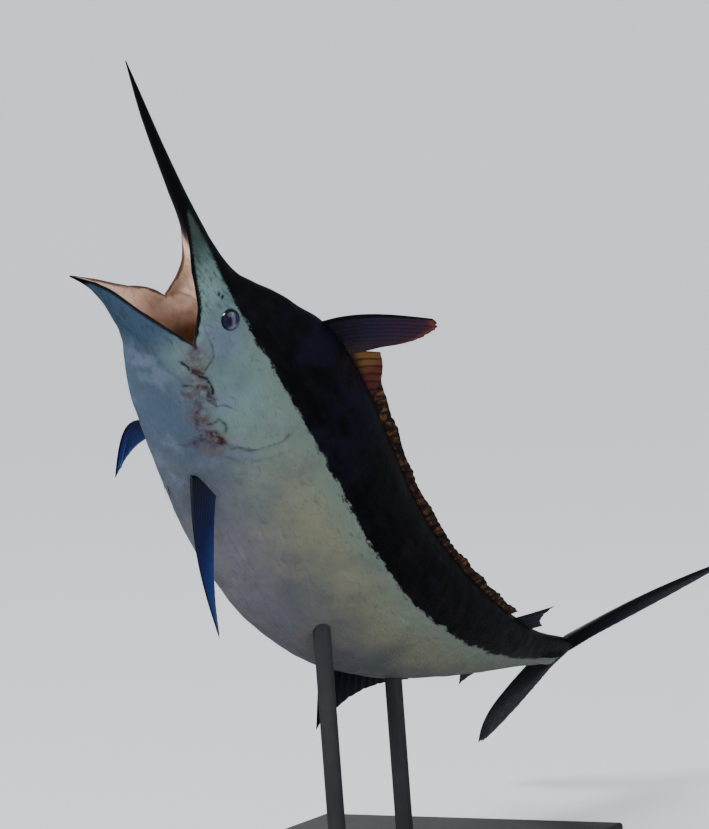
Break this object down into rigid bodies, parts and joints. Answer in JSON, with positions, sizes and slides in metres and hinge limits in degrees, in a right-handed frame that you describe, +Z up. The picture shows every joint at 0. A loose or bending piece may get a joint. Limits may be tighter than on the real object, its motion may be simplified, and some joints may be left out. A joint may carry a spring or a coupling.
{
  "type": "black marlin",
  "caption": "Life-size leaping black marlin with open mouth, raised bill, dorsal lobe, stiff side fins and crescent tail, banked on a plain display stand",
  "frame": {"origin": "middle of the stand base's underside, on the floor", "axes": "+Z up; the fish leaps toward -Y with its tail toward +Y; its left flank faces -Y and +X"},
  "size_m": [1.3605, 3.3309, 3.0519],
  "materials": {
    "bill_skin": "near-black brown skin, faintly blue on top",
    "back_skin": "wet near-black skin with a blue sheen",
    "flank_skin": "wet pale grey-green skin, near-black above a sharp line",
    "belly_skin": "wet blue-grey skin of the throat and belly",
    "fin_skin": "dark violet-brown fin membrane with rays",
    "eye_glaze": "clear cornea over a blue-grey iris and dark pupil",
    "stand_paint": "dark satin paint"
  },
  "bodies": {
    "root": {"bill": "bill_skin", "head": "flank_skin", "lower_jaw": "belly_skin", "eye_left": "eye_glaze", "eye_right": "eye_glaze", "gill_cover_left": "flank_skin", "gill_cover_right": "flank_skin", "torso_front": "flank_skin", "torso_rear": "flank_skin", "tail_stock": "back_skin", "first_dorsal_lobe": "fin_skin", "first_dorsal_run": "fin_skin", "second_dorsal_fin": "fin_skin", "first_anal_fin": "fin_skin", "second_anal_fin": "fin_skin", "pectoral_fin_left": "fin_skin", "pectoral_fin_right": "fin_skin", "pelvic_fin_left": "fin_skin", "pelvic_fin_right": "fin_skin", "caudal_fin_upper": "back_skin", "caudal_fin_lower": "back_skin", "stand_base": "stand_paint", "stand_rod_front": "stand_paint", "stand_rod_rear": "stand_paint"}
  },
  "joints": []
}
